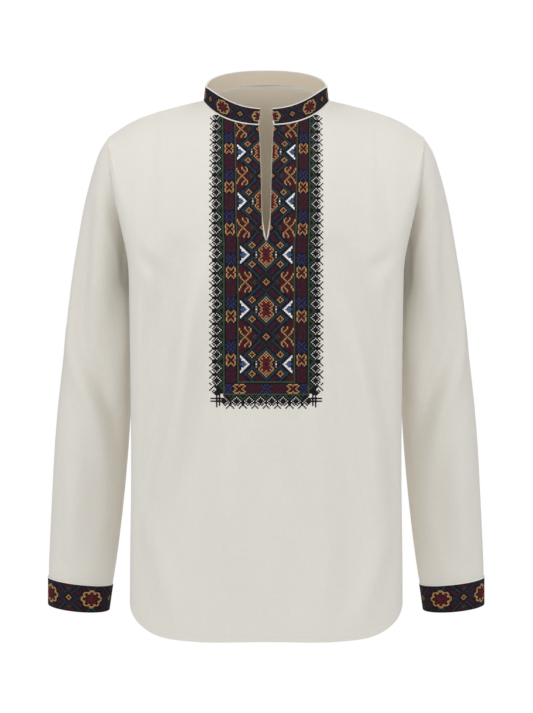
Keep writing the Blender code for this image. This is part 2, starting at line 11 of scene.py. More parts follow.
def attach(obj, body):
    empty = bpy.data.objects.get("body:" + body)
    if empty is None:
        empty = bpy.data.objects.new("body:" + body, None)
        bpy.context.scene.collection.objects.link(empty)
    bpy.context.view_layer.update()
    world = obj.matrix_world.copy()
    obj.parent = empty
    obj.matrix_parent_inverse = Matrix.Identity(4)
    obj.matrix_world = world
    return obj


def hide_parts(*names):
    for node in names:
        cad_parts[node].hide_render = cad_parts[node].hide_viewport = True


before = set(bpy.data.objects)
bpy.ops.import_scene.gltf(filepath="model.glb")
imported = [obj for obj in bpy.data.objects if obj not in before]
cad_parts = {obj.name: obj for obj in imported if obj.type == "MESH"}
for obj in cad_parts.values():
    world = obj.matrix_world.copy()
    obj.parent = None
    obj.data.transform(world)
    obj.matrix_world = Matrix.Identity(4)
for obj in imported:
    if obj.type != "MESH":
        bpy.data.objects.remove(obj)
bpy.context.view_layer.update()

# Camera: level, in front of the chest. The picture's height is what it sees at the origin
CAMERA_DISTANCE = 3.2
CAMERA_SIDE = 0.0004
CAMERA_HEIGHT = -0.363
PICTURE_HEIGHT = 0.9982
SENSOR_HEIGHT = 24.0

# Lamps and surroundings
SURROUND = 0.52
COOL = (0.955, 0.975, 1.0)
Lamp = namedtuple("Lamp", "name place aim_z size power")
LAMPS = (
    Lamp("left side light", (-3.1, -1.9, 1.2), -0.35, 2.2, 38.0),
    Lamp("right side light", (3.1, -1.9, 1.1), -0.35, 2.2, 37.0),
    Lamp("top front light", (-0.3, -2.7, 2.1), -0.2, 1.5, 39.0),
    Lamp("back light", (0.5, 3.2, 1.0), -0.3, 2.0, 68.0),
)
FLOOR_Z = -1.46
FLOOR_RADII = (0.6, 1.25)
FLOOR_SIDES = 72

# Threads, by the letter that names each in the charts
Thread = namedtuple("Thread", "name colour")
THREADS = {
    "k": Thread("black", (0.005, 0.004, 0.005)),
    "r": Thread("wine", (0.050, 0.006, 0.008)),
    "p": Thread("plum", (0.029, 0.007, 0.018)),
    "G": Thread("gold", (0.440, 0.235, 0.090)),
    "W": Thread("white", (0.800, 0.760, 0.720)),
    "t": Thread("teal", (0.015, 0.031, 0.043)),
    "n": Thread("navy", (0.007, 0.008, 0.026)),
    "v": Thread("violet", (0.036, 0.028, 0.100)),
    "s": Thread("sage", (0.034, 0.062, 0.036)),
    "e": Thread("green", (0.007, 0.016, 0.009)),
    "b": Thread("blue", (0.045, 0.085, 0.170)),
    "R": Thread("red", (0.088, 0.009, 0.012)),
}

# Linen colours, with painted shade on the inner faces and the slit's edge, and a painted highlight on
# the cuff cords
LINEN = (0.776, 0.734, 0.658)
# Painted shade: the warmer, darker colour the inner faces take for light bounced inside the shirt
INSIDE_PAINTED_SHADE = (0.800, 0.690, 0.540)
# Lighter linen for the collar's piping and top cord and the hem thread, and as a painted highlight on
# the cuff cords
CORD_AND_HIGHLIGHT = (0.86, 0.83, 0.78)
# Painted shade: the slit's rolled edge is the same linen, coloured dark like the shaded slit
SLIT_PAINTED_SHADE = (0.430, 0.350, 0.250)


def ease(share):
    """A smooth step from 0 to 1."""
    share = np.clip(share, 0, 1)
    return share * share * (3 - 2 * share)


def placed(name, data):
    """A new object in the scene."""
    thing = bpy.data.objects.new(name, data)
    bpy.context.scene.collection.objects.link(thing)
    return thing


# Node groups


def new_group(name, inputs, outputs):
    """A shader group with named sockets, and its input and output nodes."""
    group = bpy.data.node_groups.new(name, "ShaderNodeTree")
    for label, kind, value in inputs:
        socket = group.interface.new_socket(label, in_out="INPUT", socket_type=kind)
        if value is not None:
            socket.default_value = value
    for label, kind in outputs:
        group.interface.new_socket(label, in_out="OUTPUT", socket_type=kind)
    return group, group.nodes.new("NodeGroupInput"), group.nodes.new("NodeGroupOutput")


def add(tree, kind, **settings):
    """A node of a kind, with its properties set."""
    node = tree.nodes.new(kind)
    for label, value in settings.items():
        setattr(node, label, value)
    return node


def put(node, label, value):
    """Sets the constant on one of a node's inputs."""
    node.inputs[label].default_value = value


def maths(tree, operation, first, second):
    """A Math node on two sockets or numbers. Returns its output."""
    node = add(tree, "ShaderNodeMath", operation=operation)
    for socket, value in zip(node.inputs, (first, second)):
        if isinstance(value, (int, float)):
            socket.default_value = value
        else:
            tree.links.new(value, socket)
    return node.outputs[0]


def plain_weave_group():
    """Over and under threads of a plain weave, with slubs. Puts out a height and a shade mask."""
    inputs = [
        ("Map", "NodeSocketVector", None),
        ("Threads per metre", "NodeSocketFloat", 1500.0),
        ("Slub", "NodeSocketFloat", 0.4),
    ]
    outputs = [("Height", "NodeSocketFloat"), ("Shade", "NodeSocketFloat")]
    group, given, result = new_group("plain weave", inputs, outputs)
    link = group.links.new
    uneven = add(group, "ShaderNodeTexNoise")
    put(uneven, "Scale", 60.0)
    put(uneven, "Detail", 2.0)
    link(given.outputs["Map"], uneven.inputs["Vector"])
    shift = add(group, "ShaderNodeVectorMath", operation="SCALE")
    link(uneven.outputs["Color"], shift.inputs[0])
    put(shift, "Scale", 0.0012)
    moved = add(group, "ShaderNodeVectorMath", operation="ADD")
    link(given.outputs["Map"], moved.inputs[0])
    link(shift.outputs[0], moved.inputs[1])
    parts = add(group, "ShaderNodeSeparateXYZ")
    link(moved.outputs[0], parts.inputs[0])
    turn = maths(group, "MULTIPLY", given.outputs["Threads per metre"], math.pi)
    across = maths(group, "SINE", maths(group, "MULTIPLY", parts.outputs[0], turn), 0.0)
    along = maths(group, "SINE", maths(group, "MULTIPLY", parts.outputs[1], turn), 0.0)
    over = maths(group, "MULTIPLY", across, along)
    height = maths(group, "ADD", maths(group, "MULTIPLY", over, 0.5), 0.5)
    streaks = []
    for scale in ((900.0, 45.0, 1.0), (45.0, 900.0, 1.0)):
        streak = add(group, "ShaderNodeTexNoise")
        put(streak, "Scale", 1.0)
        put(streak, "Detail", 3.0)
        stretch = add(group, "ShaderNodeMapping")
        put(stretch, "Scale", scale)
        link(given.outputs["Map"], stretch.inputs["Vector"])
        link(stretch.outputs[0], streak.inputs["Vector"])
        streaks.append(streak.outputs["Fac"])
    slubs = maths(group, "ADD", *streaks)
    slubs = maths(group, "MULTIPLY", slubs, given.outputs["Slub"])
    link(maths(group, "ADD", height, slubs), result.inputs["Height"])
    link(maths(group, "MULTIPLY", slubs, 0.5), result.inputs["Shade"])
    return group


def thread_group():
    """Twisted strands of an embroidery thread. Puts out a height and a shade mask."""
    inputs = [("Strands", "NodeSocketFloat", 2600.0)]
    outputs = [("Height", "NodeSocketFloat"), ("Shade", "NodeSocketFloat")]
    group, given, result = new_group("twisted thread", inputs, outputs)
    link = group.links.new
    place = add(group, "ShaderNodeTexCoord")
    strand = add(group, "ShaderNodeTexWave", wave_type="BANDS", bands_direction="DIAGONAL")
    put(strand, "Distortion", 3.0)
    put(strand, "Detail", 1.5)
    link(place.outputs["Object"], strand.inputs["Vector"])
    link(given.outputs["Strands"], strand.inputs["Scale"])
    patch = add(group, "ShaderNodeTexNoise")
    put(patch, "Scale", 420.0)
    put(patch, "Detail", 2.0)
    link(place.outputs["Object"], patch.inputs["Vector"])
    link(strand.outputs["Fac"], result.inputs["Height"])
    link(patch.outputs["Fac"], result.inputs["Shade"])
    return group


PLAIN_WEAVE = plain_weave_group()
TWISTED_THREAD = thread_group()


def blend_colour(tree, mask, low, high):
    """A colour ramp from low to high over a mask."""
    ramp = add(tree, "ShaderNodeValToRGB")
    ramp.color_ramp.elements[0].color = (*low, 1)
    ramp.color_ramp.elements[1].color = (*high, 1)
    tree.links.new(mask, ramp.inputs["Fac"])
    return ramp


def new_material(name, group):
    """A material with a shared group. Returns it, its nodes, its shader and the group's node."""
    material = bpy.data.materials.new(name)
    material.use_nodes = True
    tree = material.node_tree
    return material, tree, tree.nodes["Principled BSDF"], add(tree, "ShaderNodeGroup", node_tree=group)


def shade_relief(tree, height, shader, strength, distance):
    """Bumps a shader by a height."""
    relief = add(tree, "ShaderNodeBump")
    put(relief, "Strength", strength)
    put(relief, "Distance", distance)
    tree.links.new(height, relief.inputs["Height"])
    tree.links.new(relief.outputs["Normal"], shader.inputs["Normal"])


def linen_material(name, colour, slub=0.4):
    """Unbleached linen: a plain weave with slubs, matt, with a faint fuzz, and a warmer, darker
    painted shade on its inner faces for light bounced inside the shirt.
    """
    material, tree, shader, weave = new_material(name, PLAIN_WEAVE)
    put(weave, "Slub", slub)
    unrolled = add(tree, "ShaderNodeUVMap", uv_map="cloth")
    tree.links.new(unrolled.outputs["UV"], weave.inputs["Map"])
    dark = tuple(c * 0.90 for c in colour)
    light = tuple(min(1.0, c * 1.05) for c in colour)
    ramp = blend_colour(tree, weave.outputs["Shade"], dark, light)
    ramp.color_ramp.elements[0].position = 0.03
    ramp.color_ramp.elements[1].position = 0.37
    # Inner faces take the painted warm shade in place of the linen's own colour
    within = add(tree, "ShaderNodeAttribute", attribute_name="inside")
    inside_shade_colour = blend_colour(tree, weave.outputs["Shade"], tuple(c * 0.93 for c in INSIDE_PAINTED_SHADE), INSIDE_PAINTED_SHADE)
    both = add(tree, "ShaderNodeMix", data_type="RGBA")
    tree.links.new(within.outputs["Fac"], both.inputs[0])
    tree.links.new(ramp.outputs["Color"], both.inputs[6])
    tree.links.new(inside_shade_colour.outputs["Color"], both.inputs[7])
    tree.links.new(both.outputs[2], shader.inputs["Base Color"])
    put(shader, "Roughness", 0.88)
    put(shader, "Sheen Weight", 0.12)
    put(shader, "Sheen Roughness", 0.6)
    put(shader, "Specular IOR Level", 0.22)
    shade_relief(tree, weave.outputs["Height"], shader, 0.35, 0.00025)
    return material


def thread_material(name, colour):
    """Stranded cotton: deep colour, strands that catch light, a little sheen."""
    material, tree, shader, twist = new_material(name, TWISTED_THREAD)
    dark = tuple(c * 0.72 for c in colour)
    light = tuple(min(1.0, c * 1.25 + 0.004) for c in colour)
    ramp = blend_colour(tree, twist.outputs["Shade"], dark, light)
    ramp.color_ramp.elements[0].position = 0.3
    ramp.color_ramp.elements[1].position = 0.7
    tree.links.new(ramp.outputs["Color"], shader.inputs["Base Color"])
    put(shader, "Roughness", 0.72)
    put(shader, "Sheen Weight", 0.015)
    put(shader, "Specular IOR Level", 0.12)
    shade_relief(tree, twist.outputs["Height"], shader, 0.5, 0.00012)
    return material


# Creases: soft troughs and ridges along given lines on the cloth

Crease = namedtuple("Crease", "width depth path")
CURVE_STEPS = 8


def through(path):
    """Places along a smooth line through the points of a path."""
    points = np.array([path[0], *path, path[-1]], float)
    places = []
    for k in range(1, len(points) - 2):
        p0, p1, p2, p3 = points[k - 1 : k + 3]
        for t in np.arange(CURVE_STEPS) / CURVE_STEPS:
            places.append(
                0.5 * (2 * p1 + (p2 - p0) * t + (2 * p0 - 5 * p1 + 4 * p2 - p3) * t * t
                       + (3 * p1 - p0 - 3 * p2 + p3) * t ** 3)
            )
    return np.array(places + [points[-1]])


def crease_height(creases, u, z):
    """How far creases lift cloth at places, u across a panel or round a sleeve."""
    height = np.zeros(len(u))
    for crease in creases:
        line = through(crease.path)
        nearest = np.full(len(u), 1e9)
        share = np.zeros(len(u))
        for k in range(len(line) - 1):
            start, run = line[k], line[k + 1] - line[k]
            along = np.clip(((u - start[0]) * run[0] + (z - start[1]) * run[1]) / (run @ run), 0, 1)
            away = np.hypot(u - start[0] - along * run[0], z - start[1] - along * run[1])
            closer = away < nearest
            nearest = np.where(closer, away, nearest)
            share = np.where(closer, (k + along) / (len(line) - 1), share)
        taper = np.sin(math.pi * np.clip(share, 0, 1)) ** 0.8
        beside = nearest / crease.width
        shape = np.exp(-(beside ** 2)) - 0.3 * np.exp(-((beside - 2.0) ** 2) / 0.5)
        height += crease.depth * taper * shape
    return height


FRONT_CREASES = (
    Crease(0.018, -0.0087, (
        (-0.118, -0.2), (-0.134, -0.25), (-0.148, -0.323), (-0.157, -0.45), (-0.168, -0.58),
    )),
    Crease(0.014, 0.0081, (
        (-0.074, -0.225), (-0.09, -0.268), (-0.103, -0.318), (-0.111, -0.391), (-0.127, -0.48),
        (-0.146, -0.557), (-0.16, -0.64),
    )),
    Crease(0.016, -0.0032, ((-0.076, -0.33), (-0.082, -0.42), (-0.092, -0.52), (-0.11, -0.69))),
    Crease(0.009, -0.0032, ((-0.182, -0.222), (-0.16, -0.238), (-0.138, -0.262))),
    Crease(0.009, -0.0029, ((-0.18, -0.255), (-0.164, -0.3), (-0.158, -0.35))),
    Crease(0.012, -0.0029, ((-0.15, -0.1), (-0.164, -0.15), (-0.174, -0.205))),
    Crease(0.018, -0.0084, (
        (0.082, -0.205), (0.098, -0.24), (0.127, -0.304), (0.15, -0.368), (0.16, -0.46),
    )),
    Crease(0.014, 0.0075, (
        (0.084, -0.22), (0.108, -0.275), (0.13, -0.368), (0.151, -0.526), (0.164, -0.64),
    )),
    Crease(0.018, -0.0043, ((0.082, -0.31), (0.104, -0.44), (0.116, -0.58), (0.108, -0.72))),
    Crease(0.009, -0.0029, ((0.182, -0.218), (0.158, -0.236), (0.132, -0.252))),
    Crease(0.009, -0.0028, ((0.18, -0.25), (0.166, -0.31), (0.164, -0.38))),
    Crease(0.012, -0.0028, ((0.15, -0.098), (0.166, -0.145), (0.175, -0.2))),
    Crease(0.02, 0.0043, ((-0.03, -0.45), (-0.048, -0.56), (-0.04, -0.69))),
    Crease(0.02, -0.0038, ((0.018, -0.48), (0.048, -0.6), (0.04, -0.735))),
    Crease(0.012, 0.0035, ((-0.16, -0.56), (-0.15, -0.64), (-0.12, -0.72))),
    Crease(0.012, 0.0032, ((0.166, -0.59), (0.148, -0.66), (0.116, -0.735))),
)
BACK_CREASES = (
    Crease(0.02, -0.0072, ((-0.16, -0.2), (-0.12, -0.27), (-0.1, -0.36), (-0.104, -0.48))),
    Crease(0.018, 0.0054, ((-0.11, -0.19), (-0.082, -0.29), (-0.074, -0.42), (-0.09, -0.6))),
    Crease(0.02, -0.005, ((-0.05, -0.3), (-0.042, -0.42), (-0.054, -0.56), (-0.046, -0.7))),
    Crease(0.012, -0.0032, ((-0.18, -0.225), (-0.15, -0.262), (-0.118, -0.282))),
    Crease(0.014, 0.0032, ((-0.15, -0.42), (-0.138, -0.54), (-0.148, -0.68))),
    Crease(0.02, -0.0068, ((0.162, -0.205), (0.126, -0.262), (0.108, -0.35), (0.118, -0.46))),
    Crease(0.018, 0.005, ((0.104, -0.2), (0.08, -0.31), (0.086, -0.45), (0.104, -0.62))),
    Crease(0.022, -0.0047, ((0.04, -0.26), (0.036, -0.38), (0.05, -0.54), (0.038, -0.72))),
    Crease(0.012, -0.0031, ((0.181, -0.23), (0.152, -0.258), (0.122, -0.286))),
    Crease(0.014, 0.0031, ((0.156, -0.4), (0.148, -0.52), (0.152, -0.66))),
    Crease(0.014, -0.0029, ((-0.062, -0.085), (-0.096, -0.13), (-0.128, -0.19))),
    Crease(0.014, -0.0027, ((0.066, -0.085), (0.1, -0.135), (0.13, -0.185))),
    Crease(0.022, 0.0036, ((-0.006, -0.45), (0.004, -0.56), (-0.008, -0.7))),
)
# On sleeves u runs round the tube in metres: 0 outside, 0.082 in front, -0.082 behind
RIGHT_SLEEVE_CREASES = (
    Crease(0.012, -0.009, (
        (0.052, -0.14), (0.054, -0.205), (0.052, -0.255), (0.051, -0.309), (0.059, -0.348),
        (0.079, -0.386), (0.097, -0.412), (0.115, -0.445), (0.13, -0.48),
    )),
    Crease(0.012, 0.0046, (
        (0.066, -0.13), (0.079, -0.185), (0.088, -0.24), (0.09, -0.3), (0.1, -0.35),
        (0.113, -0.398),
    )),
    Crease(0.014, 0.0072, ((0.11, -0.265), (0.119, -0.31), (0.124, -0.36), (0.13, -0.42))),
    Crease(0.008, -0.0066, (
        (0.078, -0.11), (0.086, -0.15), (0.102, -0.185), (0.118, -0.235), (0.128, -0.275),
    )),
    Crease(0.013, 0.0036, ((0.06, -0.37), (0.078, -0.43), (0.1, -0.48), (0.114, -0.54))),
    Crease(0.014, -0.0016, ((0.07, -0.47), (0.086, -0.54), (0.092, -0.61), (0.088, -0.66))),
    Crease(0.01, 0.0014, ((0.044, -0.5), (0.058, -0.58), (0.06, -0.665))),
    Crease(0.012, -0.0018, ((0.016, -0.24), (0.01, -0.33), (0.022, -0.43))),
    Crease(0.006, -0.0012, ((0.034, -0.64), (0.05, -0.652), (0.07, -0.662))),
    Crease(0.014, -0.005, ((-0.06, -0.15), (-0.082, -0.215), (-0.112, -0.275), (-0.134, -0.34))),
    Crease(0.012, 0.0036, ((-0.04, -0.2), (-0.062, -0.27), (-0.092, -0.335), (-0.11, -0.4))),
    Crease(0.013, -0.0052, ((-0.02, -0.29), (-0.046, -0.355), (-0.082, -0.41), (-0.116, -0.45))),
    Crease(0.012, -0.0028, ((-0.06, -0.44), (-0.072, -0.53), (-0.066, -0.65))),
    Crease(0.012, 0.0022, ((-0.096, -0.47), (-0.104, -0.56), (-0.094, -0.655))),
)
LEFT_SLEEVE_CREASES = (
    Crease(0.013, -0.0088, (
        (0.058, -0.15), (0.06, -0.215), (0.057, -0.262), (0.056, -0.312), (0.064, -0.352),
        (0.08, -0.392), (0.096, -0.42), (0.112, -0.452), (0.127, -0.49),
    )),
    Crease(0.012, 0.005, (
        (0.07, -0.14), (0.082, -0.195), (0.091, -0.245), (0.094, -0.298), (0.101, -0.345),
        (0.113, -0.398),
    )),
    Crease(0.014, 0.0068, ((0.112, -0.27), (0.12, -0.315), (0.124, -0.365), (0.129, -0.425))),
    Crease(0.008, -0.0066, (
        (0.078, -0.105), (0.087, -0.148), (0.104, -0.188), (0.119, -0.24), (0.128, -0.28),
    )),
    Crease(0.013, 0.0034, ((0.058, -0.365), (0.076, -0.43), (0.096, -0.485), (0.11, -0.55))),
    Crease(0.014, -0.0017, ((0.072, -0.48), (0.088, -0.55), (0.09, -0.615), (0.084, -0.66))),
    Crease(0.01, 0.0014, ((0.048, -0.52), (0.056, -0.59), (0.054, -0.665))),
    Crease(0.012, -0.0018, ((0.02, -0.26), (0.014, -0.35), (0.026, -0.44))),
    Crease(0.006, -0.0012, ((0.032, -0.644), (0.05, -0.654), (0.068, -0.66))),
    Crease(0.014, -0.005, ((-0.058, -0.145), (-0.08, -0.205), (-0.108, -0.27), (-0.13, -0.33))),
    Crease(0.012, 0.0034, ((-0.044, -0.21), (-0.066, -0.28), (-0.096, -0.34), (-0.112, -0.395))),
    Crease(0.013, -0.0052, ((-0.024, -0.3), (-0.05, -0.36), (-0.086, -0.415), (-0.118, -0.46))),
    Crease(0.012, -0.0026, ((-0.056, -0.45), (-0.07, -0.54), (-0.07, -0.65))),
    Crease(0.012, 0.0022, ((-0.1, -0.48), (-0.102, -0.57), (-0.09, -0.655))),
)


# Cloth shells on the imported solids

SUBDIVISIONS = 2
SLEEVE_RADIUS, NECK_RADIUS = 0.052, 0.073
TRUNK_Y, TRUNK_TOP_Z, SLEEVE_TOP_Z = -0.01, -0.16, -0.12
HEM_RISE_TOP, HEM_RISE_RUN = -0.52, 0.20
TURN_X, TURN_ANGLE = 0.15, 0.85
# Where creases fade: at seams and hems, and mostly on the stiff embroidery
SIDE_SEAM_X, SHOULDER_SEAM_Z, HEM_Z = 0.183, -0.09, -0.765
STIFF_X, STIFF_Z, STIFFNESS = 0.072, -0.43, 0.85
SLEEVE_SEAM_U, SLEEVE_SEAM_Z, CUFF_SEAM_Z = 0.150, -0.095, -0.672
Middle = namedtuple("Middle", "z x y")
SLEEVE_MIDDLES = (
    Middle(-0.70, 0.2645, 0.042),
    Middle(-0.56, 0.2520, 0.038),
    Middle(-0.39, 0.2400, 0.038),
    Middle(-0.30, 0.2350, 0.037),
    Middle(-0.20, 0.2250, 0.030),
    Middle(-0.12, 0.2130, 0.020),
    Middle(-0.06, 0.2000, 0.012),
)


def smooth_copy(node):
    """A solid's mesh with its triangles paired, its rims kept sharp, and its faces subdivided."""
    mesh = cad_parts[node].data.copy()
    for label in ("custom_normal", "sharp_edge", "sharp_face"):
        if label in mesh.attributes:
            mesh.attributes.remove(mesh.attributes[label])
    form = bmesh.new()
    form.from_mesh(mesh)
    bmesh.ops.remove_doubles(form, verts=form.verts[:], dist=1e-6)
    bmesh.ops.join_triangles(
        form,
        faces=form.faces[:],
        angle_face_threshold=math.radians(35),
        angle_shape_threshold=math.radians(70),
    )
    kept = form.edges.layers.float.new("crease_edge")
    for edge in form.edges:
        if len(edge.link_faces) == 2 and edge.calc_face_angle(0) > math.radians(48):
            edge[kept] = 1.0
    form.to_mesh(mesh)
    form.free()
    rough = placed(node + " rough", mesh)
    finer = rough.modifiers.new("finer", "SUBSURF")
    finer.levels = finer.render_levels = SUBDIVISIONS
    finer.boundary_smooth = "PRESERVE_CORNERS"
    seen = rough.evaluated_get(bpy.context.evaluated_depsgraph_get())
    made = bpy.data.meshes.new_from_object(seen)
    bpy.data.objects.remove(rough)
    return made


def vertex_arrays(mesh):
    """The points and normals of a mesh."""
    count = len(mesh.vertices)
    place = np.zeros(count * 3)
    mesh.vertices.foreach_get("co", place)
    normal = np.zeros(count * 3)
    mesh.vertex_normals.foreach_get("vector", normal)
    return place.reshape(-1, 3), normal.reshape(-1, 3)


def lay_map(mesh, unrolled):
    """Gives a mesh a map of its unrolled cloth, in metres."""
    corners = np.zeros(len(mesh.loops), int)
    mesh.loops.foreach_get("vertex_index", corners)
    layer = mesh.uv_layers.new(name="cloth")
    layer.data.foreach_set("uv", unrolled[corners].ravel())


def new_piece(name, mesh, material):
    """A smooth piece of one material on the shirt's body."""
    mesh.materials.append(material)
    mesh.shade_smooth()
    piece = placed(name, mesh)
    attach(piece, "root")
    return piece


def cloth_piece(name, node, unroll, centre, height, material, lean=0.0, hem_lift=0.0):
    """A shell that stands for a solid. Height lifts both of its faces by the same creases."""
    mesh = smooth_copy(node)
    place, normal = vertex_arrays(mesh)
    u = unroll(place)
    away = np.sum(normal * (place - centre(place)), axis=1)
    outward = normal * np.where(away < 0, -1.0, 1.0)[:, None]
    # Marks the inner faces, which the linen material paints with a warmer shade
    inside = mesh.attributes.new("inside", "FLOAT", "POINT")
    inside.data.foreach_set("value", (away < 0).astype(np.float32))
    place = place + outward * height(place, u)[:, None]
    place[:, 2] += hem_lift * ease((HEM_RISE_TOP - place[:, 2]) / HEM_RISE_RUN)
    mesh.vertices.foreach_set("co", place.ravel())
    lay_map(mesh, np.stack([u, place[:, 2] + lean * place[:, 1]], axis=1))
    mesh.materials.clear()
    mesh.polygons.foreach_set("material_index", np.zeros(len(mesh.polygons), int))
    piece = new_piece(name, mesh, material)
    mesh.set_sharp_from_angle(angle=math.radians(50))
    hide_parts(node)
    return piece


def trunk_centre(place):
    """The middle of the trunk nearest to each point."""
    z = np.minimum(place[:, 2], TRUNK_TOP_Z)
    return np.stack([0 * z, np.full(len(place), TRUNK_Y), z], axis=1)


def sleeve_middle(z):
    """The middle of the left sleeve at heights, as x and y."""
    heights, middle_x, middle_y = zip(*SLEEVE_MIDDLES)
    return np.interp(z, heights, middle_x), np.interp(z, heights, middle_y)


def sleeve_centre(side):
    """A function that gives the middle of a sleeve nearest to each point."""

    def centre(place):
        x, y = sleeve_middle(place[:, 2])
        z = np.minimum(place[:, 2], SLEEVE_TOP_Z)
        return np.stack([side * x, y, z], axis=1)

    return centre


def sleeve_unroll(side):
    """A function that gives the way round a sleeve from its outer side, in metres."""

    def unroll(place):
        x, y = sleeve_middle(place[:, 2])
        angle = np.arctan2(-(place[:, 1] - y), (side * place[:, 0] - x) + 1e-9)
        return angle * SLEEVE_RADIUS

    return unroll


def across(place):
    """The way across a panel, in metres, which follows the turn at its sides."""
    turn = np.arctan2(place[:, 0], np.abs(place[:, 1] - TRUNK_Y) + 0.03)
    side = np.sign(place[:, 0])
    beyond = side * TURN_X + (turn - side * TURN_ANGLE) * TURN_X
    return np.where(np.abs(place[:, 0]) > TURN_X, beyond, place[:, 0])


def panel_height(creases):
    """A function that lifts a panel's creases, and leaves its seams where they are."""

    def height(place, u):
        x, z = place[:, 0], place[:, 2]
        settled = ease((SIDE_SEAM_X - np.abs(x)) / 0.02) * ease((SHOULDER_SEAM_Z - z) / 0.05)
        settled = settled * ease((z - HEM_Z) / 0.03)
        stiff = ease((STIFF_X - np.abs(x)) / 0.015) * ease((z - STIFF_Z) / 0.03)
        return crease_height(creases, x, z) * settled * (1 - STIFFNESS * stiff)

    return height


def sleeve_height(creases):
    """A function that lifts a sleeve's creases, and leaves the seams where they are."""

    def height(place, u):
        z = place[:, 2]
        settled = ease((SLEEVE_SEAM_Z - z) / 0.05) * ease((z - CUFF_SEAM_Z) / 0.02)
        settled = settled * ease((SLEEVE_SEAM_U - np.abs(u)) / 0.02 + 0.3)
        return crease_height(creases, u, z) * settled

    return height


def flat_height(place, u):
    """No creases."""
    return np.zeros(len(place))


def ring_unroll(place):
    """The way round a collar, in metres."""
    return np.arctan2(place[:, 0], -(place[:, 1] + 0.006)) * NECK_RADIUS


# Embroidery charts. Letters name threads, and numbers count stitches

# One quarter of the star: rows go away from its middle, letters go sideways
STAR = (
    "ppRRGkkWkk",
    "pRRGkkvbk",
    "RRRRGkkG",
    "RpRRRGk",
    "RRRGRGk",
    "GRRRGk",
    "kGRGk",
    "WkGk",
    "kGk",
    "Gk",
)
# One quarter of the small rosette, and of the dark blue block between rosettes
ROSETTE = ("prGk", "prrG", "GrrG", "kGrG", "kkGk")
BLUE_BLOCK = ("pnvn", "vnnv", "nvnn", "nnvn", "knnk")
# Gold horns beside the place half way between two stars: how far out, how far up or down
HORN = {
    (15, 0), (14, 1), (13, 2), (12, 3), (13, 4), (14, 5), (15, 6), (15, 7), (11, 4),
    (11, 5), (11, 6), (12, 7), (16, 1), (17, 2), (18, 3), (18, 4), (19, 5), (19, 6),
}
RING_LETTERS = "krGkkpkt"
STAR_PERIOD = 40
HALF_PERIOD = STAR_PERIOD // 2
FIELD_EDGE, BAND_EDGE, BORDER_OUT = 20, 30, 35
FIELD_FOOT, BAND_ROW, FOOT_LINE, FOOT_ROW = 13, 18, 22, 27
SIDE_DIAMONDS = [round(21.3 - 9.27 * k) for k in range(30)]
FOOT_DIAMONDS = (4, 12, 21, 30)


def field_letter(a, b):
    """The thread of the middle field, a stitches sideways and b stitches along from a star."""
    from_star = a + b
    slope = a - b
    edge_diamond = abs(a - 18) + b
    between = a + HALF_PERIOD - b
    if from_star <= 9:
        return STAR[b][a]
    if from_star == 10:
        return "k"
    if edge_diamond <= 8:
        if a == 19:
            return "p"
        if edge_diamond >= 5:
            return "WWkn"[edge_diamond - 5]
        if b == 3 and a == 17:
            return "W"
        return "b" if abs(a - 16) + b <= 2 else "n"
    if between <= 7:
        return RING_LETTERS[between]
    if from_star >= 24:
        return corner_letter(a, HALF_PERIOD - b, from_star)
    small = abs(a - 10) + abs(b - 7)
    if from_star in (11, 12, 21, 22) or slope in (7, 8):
        return "t"
    if from_star in (13, 20, 23) or slope in (6, 9, -12):
        return "k"
    if small <= 3:
        return "krGk"[small]
    if slope <= -2 and 15 <= from_star <= 18:
        return "r" if (a + 2 * b) % 5 < 3 else "p"
    return "n" if (a + b) % 3 else "k"


def corner_letter(a, b, from_star):
    """The thread of the wine corners, where b counts from half way between two stars."""
    if (a, b) in HORN:
        return "G"
    if from_star <= 26:
        return "kpp"[from_star - 24]
    if abs(a - 8) + b <= 2:
        return "s" if abs(a - 8) + b == 1 else "e"
    if abs(a - 18) + b <= 1:
        return "s" if abs(a - 18) + b == 0 else "e"
    return "p" if (a + b) % 7 == 0 else "r"


def column_letter(sideways, along, period):
    """The thread of a narrow band of rosettes and blocks, counted from a rosette's middle."""
    e = abs(sideways)
    if e > 3:
        return "k"
    step = (along + 4) % period - 4
    if step <= 4:
        return ROSETTE[abs(step)][e]
    if step >= period - 14:
        return BLUE_BLOCK[int(abs(step - (period - 9.5)))][e]
    return "r" if (e * 2 + step) % 3 == 0 else "p"


def border_letter(out, along):
    """The thread of the toothed border, out from its line of white diamonds."""
    ring = abs(out) + along
    if ring <= 3:
        return "pkkW"[ring]
    if out <= 0:
        return "kesk"[min(ring - 4, 3)]
    if ring == 4 and along or along >= 4 and out <= 3 or ring == 7 and out >= 3:
        return "k"
    return " "


def to_nearest(value, places):
    """How many stitches away the nearest of some places is, five at most."""
    return min(5, min(abs(value - place) for place in places))


def chest_letter(a, row):
    """The thread of the chest embroidery, a stitches sideways, row counted from the lowest star."""
    if a < FIELD_EDGE and row < FIELD_FOOT:
        return field_letter(a, abs((row + HALF_PERIOD) % STAR_PERIOD - HALF_PERIOD))
    if a <= FIELD_EDGE and row <= FIELD_FOOT:
        return "s"
    if a < BAND_EDGE and row < FOOT_LINE:
        return band_of_rosettes(a, row)
    if a <= BAND_EDGE and row <= FOOT_LINE:
        return "s"
    corner = hash_letter(a, row)
    if corner != " " or a > BAND_EDGE and row >= FOOT_LINE:
        return corner
    if a > BAND_EDGE and row >= 16 or row > FOOT_LINE and a >= 26:
        diagonal = a + row
        if diagonal <= 53:
            return "eskkkk"[max(0, diagonal - 48)]
        beside = BAND_EDGE < a < BORDER_OUT or FOOT_LINE < row < FOOT_ROW
        if diagonal == 54 or beside:
            return " "
    if a > BAND_EDGE:
        return border_letter(a - BORDER_OUT, to_nearest(row, SIDE_DIAMONDS))
    return border_letter(row - FOOT_ROW, to_nearest(a, FOOT_DIAMONDS))


